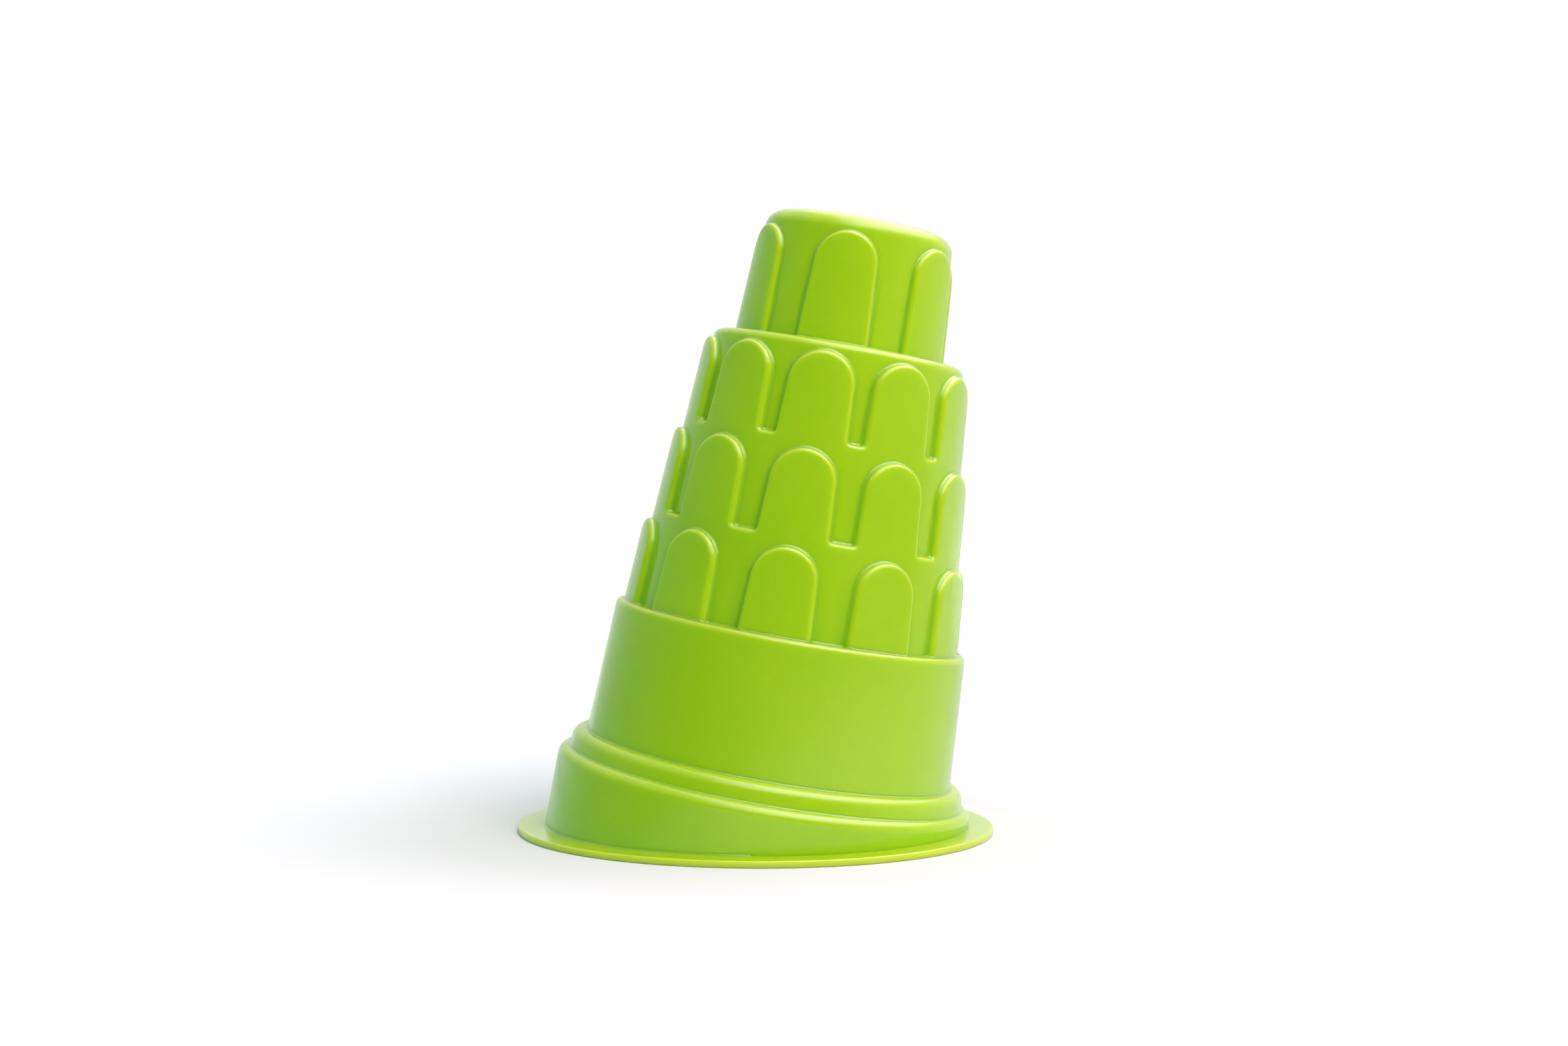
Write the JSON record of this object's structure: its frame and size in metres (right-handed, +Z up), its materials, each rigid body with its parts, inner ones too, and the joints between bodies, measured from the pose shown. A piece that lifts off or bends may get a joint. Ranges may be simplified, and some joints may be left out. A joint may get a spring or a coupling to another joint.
{
  "type": "sand mould",
  "caption": "Leaning round tower sand mould: one thin plastic shell with raised round-topped arches, open below on a flat rim.",
  "frame": {"origin": "centre of the round rim, on the floor plane that the mould stands on", "axes": "+Z up, the tower leans towards +X, and -Y is the side that faces the viewer"},
  "size_m": [0.15, 0.15, 0.1952],
  "materials": {
    "green_plastic": "satin, as moulded"
  },
  "bodies": {
    "root": {"rim_flange": "green_plastic", "plinth_wall": "green_plastic", "plinth_step": "green_plastic", "drum_wall": "green_plastic", "drum_ledge": "green_plastic", "lower_arcade": "green_plastic", "middle_arcade": "green_plastic", "upper_arcade": "green_plastic", "upper_ledge": "green_plastic", "turret_wall": "green_plastic", "turret_cap": "green_plastic"}
  },
  "joints": []
}
